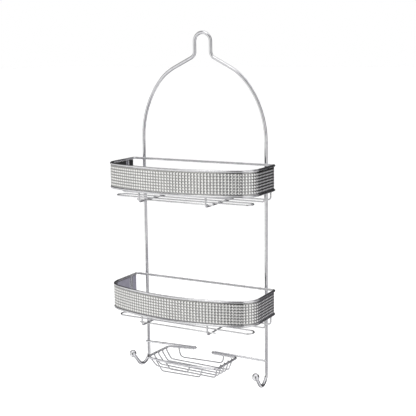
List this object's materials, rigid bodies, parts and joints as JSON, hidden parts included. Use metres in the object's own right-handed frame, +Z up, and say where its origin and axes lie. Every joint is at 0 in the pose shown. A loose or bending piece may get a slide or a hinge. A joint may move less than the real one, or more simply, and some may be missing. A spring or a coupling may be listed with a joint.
{
  "type": "shower caddy",
  "caption": "Hanging wire caddy with bowed studded baskets, a wire soap dish and ball-ended hooks, made to hang from a shower arm.",
  "frame": {"origin": "where the caddy hangs: on the inner face of the hanger loop, under the middle of its crown", "axes": "+X to the caddy's right as seen from the front, -Y out of its front, +Z up"},
  "size_m": [0.3042, 0.1341, 0.6533],
  "materials": {
    "frame_wire": "polished",
    "hook_ball": "polished",
    "rim_wire": "polished",
    "band_liner": "polished sheet",
    "stud_facing": "polished raised studs",
    "floor_wire": "polished",
    "bearer_wire": "polished",
    "dish_wire": "polished",
    "tray_wire": "polished"
  },
  "bodies": {
    "root": {"hanger_frame": "frame_wire", "hook_ball_left": "hook_ball", "hook_ball_right": "hook_ball", "upper_top_rim": "rim_wire", "upper_bottom_rim": "rim_wire", "upper_band_liner": "band_liner", "upper_stud_facing": "stud_facing", "upper_floor_wire_rear": "floor_wire", "upper_floor_wire_mid": "floor_wire", "upper_floor_loop": "floor_wire", "upper_floor_rod_front": "floor_wire", "upper_bearer_left": "bearer_wire", "upper_bearer_right": "bearer_wire", "lower_top_rim": "rim_wire", "lower_bottom_rim": "rim_wire", "lower_band_liner": "band_liner", "lower_stud_facing": "stud_facing", "lower_floor_wire_rear": "floor_wire", "lower_floor_wire_mid": "floor_wire", "lower_floor_loop": "floor_wire", "lower_floor_rod_front": "floor_wire", "lower_bearer_left": "bearer_wire", "lower_bearer_right": "bearer_wire", "dish_support_wire": "dish_wire", "dish_tray_wire_1": "tray_wire", "dish_tray_wire_2": "tray_wire", "dish_tray_wire_3": "tray_wire", "dish_tray_wire_4": "tray_wire", "dish_tray_wire_5": "tray_wire", "dish_rear_guard": "tray_wire", "dish_front_guard": "tray_wire", "dish_inner_guard": "tray_wire"}
  },
  "joints": []
}
